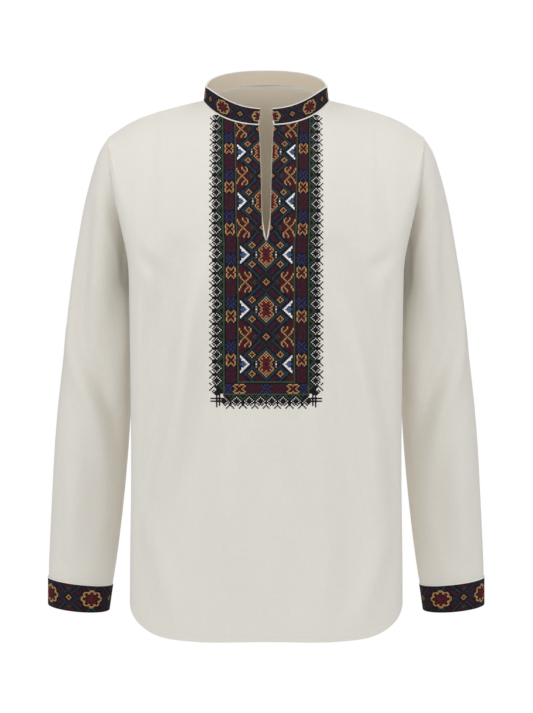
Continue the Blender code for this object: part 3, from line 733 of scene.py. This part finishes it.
def band_of_rosettes(a, row):
    """The bands of rosettes down both sides and across the foot."""
    if row <= FIELD_FOOT:
        return column_letter(a - 25, row + 3, 32)
    if row == FIELD_FOOT + 1:
        return "k"
    if a <= 3:
        return BLUE_BLOCK[a][abs(row - BAND_ROW)]
    if a >= 24:
        return BLUE_BLOCK[abs(a - 27)][abs(row - BAND_ROW)]
    return column_letter(row - BAND_ROW, abs(a - 19), 40)


def hash_letter(a, row):
    """The crossed lines and small dark diamonds at the lower corners."""
    if a == 33 and 21 <= row <= 30 or a == 35 and 24 <= row <= 31:
        return "k"
    if row == 25 and 30 <= a <= 39 or row == 27 and 33 <= a <= 39:
        return "k"
    dark = min(abs(a - BORDER_OUT) + abs(row - 21), abs(a - 30) + abs(row - FOOT_ROW))
    return "pkk"[dark] if dark <= 2 else " "


# Places on the cloth that stitches follow

STITCH = 0.00190
ROW = 0.001843
LOWEST_STAR_Z = -0.3734
FIRST_ROW, LAST_ROW, REACH = -192, 32, 40
SLIT_SPREAD = 0.081
Slit = namedtuple("Slit", "z half_width")
SLIT = (
    Slit(-0.2073, 0.0),
    Slit(-0.199, 0.0030),
    Slit(-0.184, 0.0048),
    Slit(-0.160, 0.0057),
    Slit(-0.127, 0.0062),
    Slit(-0.093, 0.0074),
    Slit(-0.0656, 0.0083),
    Slit(-0.042, 0.0101),
    Slit(0.06, 0.0101),
)
COLLAR_CENTRE, CUFF_CENTRE = (0.0, -0.008), (0.2635, 0.042)
COLLAR_HEIGHTS, CUFF_HEIGHTS = (-0.06, 0.06), (-0.735, -0.66)
COLLAR_ROWS, COLLAR_STITCHES, COLLAR_MARGIN = 17, 320, 0.0012
COLLAR_STAR, CUFF_STAR = (6.6, 8.4), (7.8, 9.0)
CUFF_ROWS, CUFF_STITCHES, CUFF_MARGIN = 25, 160, 0.0002
NARROWEST_STITCH, NECKLINE_MARGIN = 0.0002, 0.0002
# How far a stitch's corners, sides and middle stand off the cloth, and a join over its neighbours
RELIEF, JOIN_LIFT = (0.00034, 0.00010, 0.00048), 0.00028
HEM_STITCH, HEM_DEPTH, HEM_THREAD = 0.0034, 0.0085, 0.00028
CORD_SIDES, SLIT_CORD_RADIUS, CUFF_CORD_RADIUS = 8, 0.0005, 0.0008
# A direction that no cord follows
ASKEW = np.array([0.31, 0.22, 0.925])
MIRROR = np.array([-1.0, 1.0, 1.0])


def tree_of(piece):
    """A search tree on a piece's mesh."""
    mesh = piece.data
    return BVHTree.FromPolygons([v.co for v in mesh.vertices], [p.vertices[:] for p in mesh.polygons])


def slit_half_width(z):
    """How far the slit's sides stand from the middle at a height."""
    heights, widths = zip(*SLIT)
    return float(np.interp(z, heights, widths))


def panel_hit(tree, x, z, facing=-1):
    """The place on a panel's outer face, seen from straight in front or behind, or None."""
    start = Vector((x, facing * 0.4, z))
    hit, _, _, _ = tree.ray_cast(start, Vector((0, -facing, 0)), 0.42)
    return hit


def edge_between(seen, inside, outside, steps):
    """The last place from inside to outside that is still seen, by halving."""
    for _ in range(steps):
        middle = (inside + outside) / 2
        if seen(middle):
            inside = middle
        else:
            outside = middle
    return inside


def level_away(places, centre):
    """The level way out to places from an upright line."""
    away = places - np.array([*centre, 0.0])
    away[..., 2] = 0
    return away


def spread_out(x, z):
    """Where cloth that lies x from the middle goes when the slit opens."""
    wide = slit_half_width(z)
    return x + math.copysign(wide * max(0.0, 1 - abs(x) / SLIT_SPREAD), x)


def top_edge(tree, x):
    """The height of the front's neckline at a distance from the middle."""
    return edge_between(lambda z: panel_hit(tree, spread_out(x, z), z), -0.12, 0.02, 16)


def way_along(points):
    """How far along a line of points each of them is."""
    steps = np.linalg.norm(np.diff(points, axis=0), axis=1)
    return np.concatenate([[0], np.cumsum(steps)])


def row_heights(tree):
    """Heights of half rows down the front, spaced along the cloth and not straight down."""
    z = np.linspace(0.0, -0.50, 501)
    hits = [panel_hit(tree, 0.034, height) for height in z]
    known = np.array([hit is not None for hit in hits])
    z = z[known]
    y = np.array([hit.y for hit in hits if hit])
    run = way_along(np.stack([z, y], axis=1))
    foot_run = np.interp(-LOWEST_STAR_Z, -z, run)
    half_rows = np.arange(2 * FIRST_ROW - 1, 2 * LAST_ROW + 2) / 2
    wanted = foot_run + half_rows * ROW
    heights = np.interp(wanted, run, z)
    return np.where(wanted < 0, z[0] - wanted, heights)


def grid_normals(grid, outward):
    """Unit normals of a grid of places, turned to the side that outward says."""
    normal = np.cross(np.gradient(grid, axis=0), np.gradient(grid, axis=1))
    normal /= np.maximum(np.linalg.norm(normal, axis=-1, keepdims=True), 1e-12)
    return normal * np.where(np.sum(normal * outward, axis=-1, keepdims=True) < 0, -1, 1)


# The thread whose stitches join at their corners, and the letters that a join may cover
JOINED, COVERED = "k", " W"


def corner_joins(letters):
    """Corner triangles between joined stitches that meet only at a corner."""
    found = []
    for r in range(len(letters) - 1):
        for c in range(len(letters[0]) - 1):
            square = letters[r][c : c + 2], letters[r + 1][c : c + 2]
            i, j = 2 * r + 2, 2 * c + 2
            for down, right in ((0, 1), (1, 0), (0, 0), (1, 1)):
                beside = square[down][1 - right], square[1 - down][right]
                if beside != (JOINED, JOINED) or square[down][right] not in COVERED:
                    continue
                ends = (i + 2 * down - 1, j), (i, j + 2 * right - 1)
                found.append(((i, j), *(ends if down != right else ends[::-1])))
    return found


def stitch_faces(grid, letters, letter):
    """Eight triangles round the middle of each stitch of a letter, as rows and columns of the grid."""
    around = ((0, 0), (0, 1), (0, 2), (1, 2), (2, 2), (2, 1), (2, 0), (1, 0))
    faces = []
    for r, row in enumerate(letters):
        for c, found in enumerate(row):
            if found != letter:
                continue
            i, j = 2 * r + 1, 2 * c + 1
            tall = np.linalg.norm(grid[i - 1, j] - grid[i + 1, j])
            wide = np.linalg.norm(grid[i, j - 1] - grid[i, j + 1])
            if min(tall, wide) < NARROWEST_STITCH:
                continue
            ring = [(i - 1 + a, j - 1 + b) for a, b in around]
            faces += [((i, j), ring[k], ring[(k + 1) % 8]) for k in range(8)]
    return faces


def stitch_pieces(place_name, grid, outward, letters, materials):
    """One piece for each thread: a raised pad for every stitch of a chart."""
    rows, columns = grid.shape[:2]
    normal = grid_normals(grid, outward)
    i, j = np.meshgrid(np.arange(rows), np.arange(columns), indexing="ij")
    lift = np.choose(i % 2 + j % 2, RELIEF)
    seeded = np.random.default_rng(7)
    lift = lift * seeded.uniform(0.85, 1.15, lift.shape)
    points = grid + normal * lift[..., None]
    pieces = []
    for letter, thread in THREADS.items():
        faces = stitch_faces(grid, letters, letter)
        if not faces:
            continue
        flat = np.array(faces) @ np.array([columns, 1])
        places, facing = points.reshape(-1, 3), normal.reshape(-1, 3)
        joins = corner_joins(letters) if letter == JOINED else []
        if joins:
            flat = np.concatenate([flat, np.array(joins) @ np.array([columns, 1]) + len(places)])
            places = np.concatenate([places, places + facing * JOIN_LIFT])
            facing = np.concatenate([facing, facing])
        used, index = np.unique(flat, return_inverse=True)
        mesh = bpy.data.meshes.new(place_name + "_" + thread.name)
        mesh.from_pydata(places[used], [], index.reshape(-1, 3).tolist())
        face_out(mesh, facing[used])
        pieces.append(new_piece(mesh.name, mesh, materials[letter]))
    return pieces


def face_out(mesh, outward):
    """Turns a mesh over if its faces look into the cloth."""
    first = mesh.polygons[0]
    if Vector(outward[first.vertices[0]]).dot(first.normal) < 0:
        mesh.flip_normals()


def chest_stitches(tree, materials):
    """The panel of embroidery down the front, from the neckline to below the chest."""
    heights = row_heights(tree)
    half_columns = np.arange(-2 * REACH - 1, 2 * REACH + 2)
    grid = np.zeros((len(heights), len(half_columns), 3))
    for j, half in enumerate(half_columns):
        x = half * STITCH / 2
        top = top_edge(tree, x) - NECKLINE_MARGIN
        for i, height in enumerate(heights):
            z = min(height, top)
            hit = panel_hit(tree, spread_out(x, z), z)
            grid[i, j] = hit if hit else grid[i - 1, j]
    letters = [
        [chest_letter(abs(c), row) for c in range(-REACH, REACH + 1)]
        for row in range(FIRST_ROW, LAST_ROW + 1)
    ]
    for r, row in enumerate(letters):
        if heights[2 * r + 1] > SLIT[0].z + 0.001:
            row[REACH] = " "
    return stitch_pieces("chest", grid, np.array([0.0, -1.0, 0.0]), letters, materials)


def ring_hit(tree, centre, angle, z):
    """The place on a band's outer face at an angle round its centre, or None."""
    away = Vector((math.sin(angle), -math.cos(angle), 0))
    start = Vector((centre[0], centre[1], z)) + away * 0.2
    hit, _, _, _ = tree.ray_cast(start, -away, 0.2)
    return hit


def band_edges(tree, centre, angle, low, high):
    """The lowest and highest heights of a band's outer face at an angle, or None."""
    step = 0.0005
    found = [z for z in np.arange(low, high, step) if ring_hit(tree, centre, angle, z)]
    if len(found) < 4:
        return None
    return [
        edge_between(lambda z: ring_hit(tree, centre, angle, z), inside, inside + way, 8)
        for inside, way in ((found[0], -step), (found[-1], step))
    ]


def band_grid(tree, centre, angles, low, high, rows):
    """Places on a band in even rows between its edges, at many angles."""
    grid = []
    for angle in angles:
        edges = band_edges(tree, centre, angle, low, high)
        if edges is None:
            continue
        bottom, top = edges[0] + CUFF_MARGIN, edges[1] - CUFF_MARGIN
        shares = np.linspace(1, 0, 2 * rows + 1)
        line = [ring_hit(tree, centre, angle, bottom + (top - bottom) * s) for s in shares]
        if all(line):
            grid.append([tuple(p) for p in line])
    return np.array(grid).transpose(1, 0, 2)


def resampled(grid, count):
    """A grid with its columns spaced evenly along the band."""
    run = way_along(grid[grid.shape[0] // 2])
    wanted = np.linspace(0, run[-1], count)
    made = np.zeros((grid.shape[0], count, 3))
    for i in range(grid.shape[0]):
        for axis in range(3):
            made[i, :, axis] = np.interp(wanted, run, grid[i, :, axis])
    return made


def half_collar_grid(tree):
    """Places on the collar's left half in even rows, from its front end to the middle of the back."""
    angles = np.radians(np.linspace(4.0, 180.0, 353))
    edges = [band_edges(tree, COLLAR_CENTRE, angle, *COLLAR_HEIGHTS) for angle in angles]
    first = next(k for k, e in enumerate(edges) if e and e[1] - e[0] > 0.017)
    lines = []
    for k, angle in enumerate(angles):
        bottom, top = edges[max(k, first)]
        heights = np.linspace(top - COLLAR_MARGIN, bottom + 0.0009, 2 * COLLAR_ROWS + 1)
        lines.append([ring_hit(tree, COLLAR_CENTRE, angle, z) for z in heights])
    grid = np.full((2 * COLLAR_ROWS + 1, len(angles), 3), np.nan)
    for i in range(grid.shape[0]):
        held = None
        for k in range(len(angles) - 1, -1, -1):
            held = lines[k][i] or held
            grid[i, k] = held
    return grid


def collar_stitches(collar, materials):
    """The band of embroidery round the collar, the same from each front end to the back."""
    half = half_collar_grid(tree_of(collar))
    both = np.concatenate([half, (half[:, ::-1] * MIRROR)[:, 1:]], axis=1)
    grid = resampled(both, 2 * COLLAR_STITCHES + 1)
    from_ends = [min(c, COLLAR_STITCHES - 1 - c) for c in range(COLLAR_STITCHES)]
    letters = band_letters(COLLAR_ROWS, from_ends, COLLAR_STAR)
    away = level_away(grid, COLLAR_CENTRE)
    return stitch_pieces("collar", grid, away, letters, materials), half


def band_letter(a, along, tall, wide):
    """The thread of the collar and the cuffs, a stitches across and along from a round star."""
    b = abs((along + HALF_PERIOD) % STAR_PERIOD - HALF_PERIOD)
    reach = math.hypot(a / tall, b / wide)
    petal = math.cos(8 * math.atan2(a / tall, b / wide))
    share = reach / (1 + 0.06 * petal)
    if share <= 1.14:
        if share > 1:
            return "k"
        if share > 0.84:
            return "G"
        if share > 0.66:
            return "G" if petal < -0.45 else "k"
        if share > 0.34:
            return "R" if petal > -0.2 else "p"
        return "R"
    letter = field_letter(a, min(HALF_PERIOD, int(round(b))))
    if letter in "GWb" and a + HALF_PERIOD - b > 2.5:
        return "p" if letter == "G" else "n"
    return letter


def band_letters(rows, columns, star):
    """The chart of a band, where columns counts each stitch from a round star."""
    return [[band_letter(abs(row - rows // 2), c, *star) for c in columns] for row in range(rows)]


def cuff_stitches(name, cuff, side, materials):
    """The band of embroidery round a cuff."""
    centre = (side * CUFF_CENTRE[0], CUFF_CENTRE[1])
    angles = side * (np.linspace(0, 2 * math.pi, 240, endpoint=False) - math.radians(30))
    grid = band_grid(tree_of(cuff), centre, angles, *CUFF_HEIGHTS, CUFF_ROWS)
    top = grid[0].copy()
    grid = resampled(np.concatenate([grid, grid[:, :1]], axis=1), 2 * CUFF_STITCHES + 1)
    letters = band_letters(CUFF_ROWS, range(CUFF_STITCHES), CUFF_STAR)
    letters[-1] = ["k"] * CUFF_STITCHES
    return stitch_pieces(name, grid, level_away(grid, centre), letters, materials), top


# Cords and edges


def tube(name, points, radius, material, closed=False):
    """A round cord along a line of points."""
    points = np.asarray(points, float)
    count = len(points)
    if closed:
        way = np.roll(points, -1, axis=0) - np.roll(points, 1, axis=0)
    else:
        way = np.gradient(points, axis=0)
    way /= np.maximum(np.linalg.norm(way, axis=1, keepdims=True), 1e-12)
    first = np.cross(way, ASKEW)
    first /= np.maximum(np.linalg.norm(first, axis=1, keepdims=True), 1e-12)
    second = np.cross(way, first)
    rings = []
    for k in range(CORD_SIDES):
        a = 2 * math.pi * k / CORD_SIDES
        rings.append(points + radius * (math.cos(a) * first + math.sin(a) * second))
    place = np.stack(rings, axis=1).reshape(-1, 3)
    faces = []
    for i in range(count if closed else count - 1):
        ring, after = i * CORD_SIDES, (i + 1) % count * CORD_SIDES
        for k in range(CORD_SIDES):
            beside = (k + 1) % CORD_SIDES
            faces.append((ring + k, ring + beside, after + beside, after + k))
    if not closed:
        faces.append(tuple(range(CORD_SIDES - 1, -1, -1)))
        faces.append(tuple((count - 1) * CORD_SIDES + k for k in range(CORD_SIDES)))
    mesh = bpy.data.meshes.new(name)
    mesh.from_pydata(place.tolist(), [], faces)
    form = bmesh.new()
    form.from_mesh(mesh)
    bmesh.ops.recalc_face_normals(form, faces=form.faces[:])
    form.to_mesh(mesh)
    form.free()
    return new_piece(name, mesh, material)


def running_stitches(name, pairs, out, radius, material):
    """Short raised stitches between pairs of places, as one piece."""
    place, faces = [], []
    for start, end in pairs:
        way = (end - start) / np.linalg.norm(end - start)
        side = np.cross(way, out)
        first = len(place)
        for share, size in ((0, 0.3), (0.2, 1), (0.8, 1), (1, 0.3)):
            for k in range(6):
                a = math.pi * k / 3
                turn = math.cos(a) * side + math.sin(a) * out
                place.append(start + (end - start) * share + radius * size * turn)
        for ring in range(3):
            for k in range(6):
                a, b = first + ring * 6 + k, first + ring * 6 + (k + 1) % 6
                faces.append((a, a + 6, b + 6, b))
    mesh = bpy.data.meshes.new(name)
    mesh.from_pydata([tuple(p) for p in place], [], faces)
    return new_piece(name, mesh, material)


def hem_stitches(name, panel, facing, material):
    """A row of running stitches a little above a panel's hem."""
    tree = tree_of(panel)
    ends = []
    for x in np.arange(-0.160, 0.1601, HEM_STITCH):
        hem = edge_between(lambda z: panel_hit(tree, x, z, facing), -0.64, -0.79, 16)
        hit = panel_hit(tree, x, hem + HEM_DEPTH, facing)
        ends.append(np.array(hit) if hit else None)
    pairs = [
        (a, a + (b - a) * 0.7) for a, b in zip(ends, ends[1:]) if a is not None and b is not None
    ]
    return running_stitches(name, pairs, np.array([0.0, facing, 0.0]), HEM_THREAD, material)


def slit_cord(name, tree, side, material):
    """The rolled edge down one side of the slit, in linen painted dark with the slit's shade."""
    points = []
    for z in np.linspace(top_edge(tree, side * 0.002) - 0.001, SLIT[0].z - 0.002, 90):
        x = side * (slit_half_width(z) + 0.0007)
        hit = panel_hit(tree, x, z)
        if hit:
            points.append((hit.x - side * 0.0004, hit.y + 0.0002, hit.z))
    return tube(name, points, SLIT_CORD_RADIUS, material)


def unit_away(places, centre):
    """The level way out to places from an upright line, one long."""
    away = level_away(places, centre)
    return away / np.linalg.norm(away, axis=1, keepdims=True)


def collar_cords(half, material):
    """The piping under the collar and the cord along its top."""
    made = []
    for name, row, drop, out, radius in (
        ("collar_piping", -1, -0.0010, 0.0008, 0.0009),
        ("collar_top_cord", 0, COLLAR_MARGIN - 0.0004, 0.0001, 0.0007),
    ):
        line = half[row][4::2]
        line = np.concatenate([line, line[::-1][1:] * MIRROR])
        moved = line + unit_away(line, COLLAR_CENTRE) * out + np.array([0, 0, drop])
        made.append(tube(name, moved, radius, material))
    return made


def cuff_cord(name, edge, side, material):
    """The cord where a cuff joins its sleeve: a folded edge of the sleeve linen, coloured lighter as a
    painted highlight.
    """
    away = unit_away(edge, (side * CUFF_CENTRE[0], CUFF_CENTRE[1]))
    line = edge + away * 0.0002 + np.array([0, 0, 0.0006])
    return tube(name, line, CUFF_CORD_RADIUS, material, closed=True)


# The shirt

linen = linen_material("linen", LINEN)
band_linen = linen_material("band linen", LINEN, slub=0.3)
front = cloth_piece(
    "front_panel", "front", across, trunk_centre, panel_height(FRONT_CREASES), linen,
    lean=0.8, hem_lift=0.0042,
)
back = cloth_piece(
    "back_panel", "back", across, trunk_centre, panel_height(BACK_CREASES), linen, lean=-0.8
)
sleeve_left = cloth_piece(
    "left_sleeve", "sleeve_left", sleeve_unroll(1), sleeve_centre(1),
    sleeve_height(LEFT_SLEEVE_CREASES), linen,
)
sleeve_right = cloth_piece(
    "right_sleeve", "sleeve_right", sleeve_unroll(-1), sleeve_centre(-1),
    sleeve_height(RIGHT_SLEEVE_CREASES), linen,
)
collar = cloth_piece(
    "collar_band", "collar", ring_unroll, trunk_centre, flat_height, band_linen
)
cuff_left = cloth_piece(
    "left_cuff", "cuff_left", sleeve_unroll(1), sleeve_centre(1), flat_height, band_linen
)
cuff_right = cloth_piece(
    "right_cuff", "cuff_right", sleeve_unroll(-1), sleeve_centre(-1), flat_height, band_linen
)

threads = {
    letter: thread_material(thread.name + " thread", thread.colour)
    for letter, thread in THREADS.items()
}
# The lighter linen is the piping's colour, and a painted highlight on the cuff cords
cord_and_highlight_linen = linen_material("piping and highlight linen", CORD_AND_HIGHLIGHT, slub=0.2)
# The slit's edges are painted dark with the slit's shade
slit_shade_linen = linen_material("slit edge painted shade linen", SLIT_PAINTED_SHADE, slub=0.2)
front_tree = tree_of(front)
chest_pieces = chest_stitches(front_tree, threads)
collar_pieces, collar_half = collar_stitches(collar, threads)
left_pieces, left_top = cuff_stitches("left_cuff", cuff_left, 1, threads)
right_pieces, right_top = cuff_stitches("right_cuff", cuff_right, -1, threads)
slit_cords = [
    slit_cord("slit_edge_left", front_tree, 1, slit_shade_linen),
    slit_cord("slit_edge_right", front_tree, -1, slit_shade_linen),
]
neck_cords = collar_cords(collar_half, cord_and_highlight_linen)
front_hem = hem_stitches("front_hem_stitches", front, -1, cord_and_highlight_linen)
back_hem = hem_stitches("back_hem_stitches", back, 1, cord_and_highlight_linen)
cuff_cords = [
    cuff_cord("left_cuff_cord", left_top, 1, cord_and_highlight_linen),
    cuff_cord("right_cuff_cord", right_top, -1, cord_and_highlight_linen),
]


# Camera, lights, floor


def floor():
    """A round pale floor under the shirt."""
    n = FLOOR_SIDES
    rim = [math.radians(360 / n * k) for k in range(n)]
    points = [(r * math.cos(a), r * math.sin(a), FLOOR_Z) for r in FLOOR_RADII for a in rim]
    faces = [(k, (k + 1) % n, n + (k + 1) % n, n + k) for k in range(n)]
    mesh = bpy.data.meshes.new("floor")
    mesh.from_pydata(points, [], [tuple(range(n))] + faces)
    material = bpy.data.materials.new("pale floor")
    material.use_nodes = True
    shader = material.node_tree.nodes["Principled BSDF"]
    put(shader, "Base Color", (0.90, 0.90, 0.89, 1))
    put(shader, "Roughness", 0.9)
    mesh.materials.append(material)
    placed("floor", mesh)


def soft_light(lamp):
    """A large square lamp that faces the shirt."""
    light = bpy.data.lights.new(lamp.name, "AREA")
    light.size = lamp.size
    light.energy = lamp.power
    light.color = COOL
    holder = placed(lamp.name, light)
    holder.location = lamp.place
    aim = Vector((0, 0, lamp.aim_z)) - Vector(lamp.place)
    holder.rotation_euler = aim.to_track_quat("-Z", "Y").to_euler()


def studio():
    """The camera, the lamps and the pale surroundings."""
    floor()
    world = bpy.data.worlds.new("studio")
    world.use_nodes = True
    tree = world.node_tree
    surround = tree.nodes["Background"]
    put(surround, "Color", (1, 1, 1, 1))
    soft = add(tree, "ShaderNodeBackground")
    put(soft, "Color", (*COOL, 1))
    put(soft, "Strength", SURROUND)
    seen = add(tree, "ShaderNodeLightPath")
    choice = add(tree, "ShaderNodeMixShader")
    tree.links.new(seen.outputs["Is Camera Ray"], choice.inputs["Fac"])
    tree.links.new(soft.outputs[0], choice.inputs[1])
    tree.links.new(surround.outputs[0], choice.inputs[2])
    tree.links.new(choice.outputs[0], tree.nodes["World Output"].inputs["Surface"])
    bpy.context.scene.world = world
    bpy.context.scene.view_settings.view_transform = "Standard"
    for lamp in LAMPS:
        soft_light(lamp)
    lens = bpy.data.cameras.new("camera")
    lens.sensor_fit = "VERTICAL"
    lens.sensor_height = SENSOR_HEIGHT
    lens.lens = SENSOR_HEIGHT * CAMERA_DISTANCE / PICTURE_HEIGHT
    camera = placed("camera", lens)
    camera.location = (CAMERA_SIDE, -CAMERA_DISTANCE, CAMERA_HEIGHT)
    camera.rotation_euler = (math.radians(90), 0, 0)
    bpy.context.scene.camera = camera


studio()
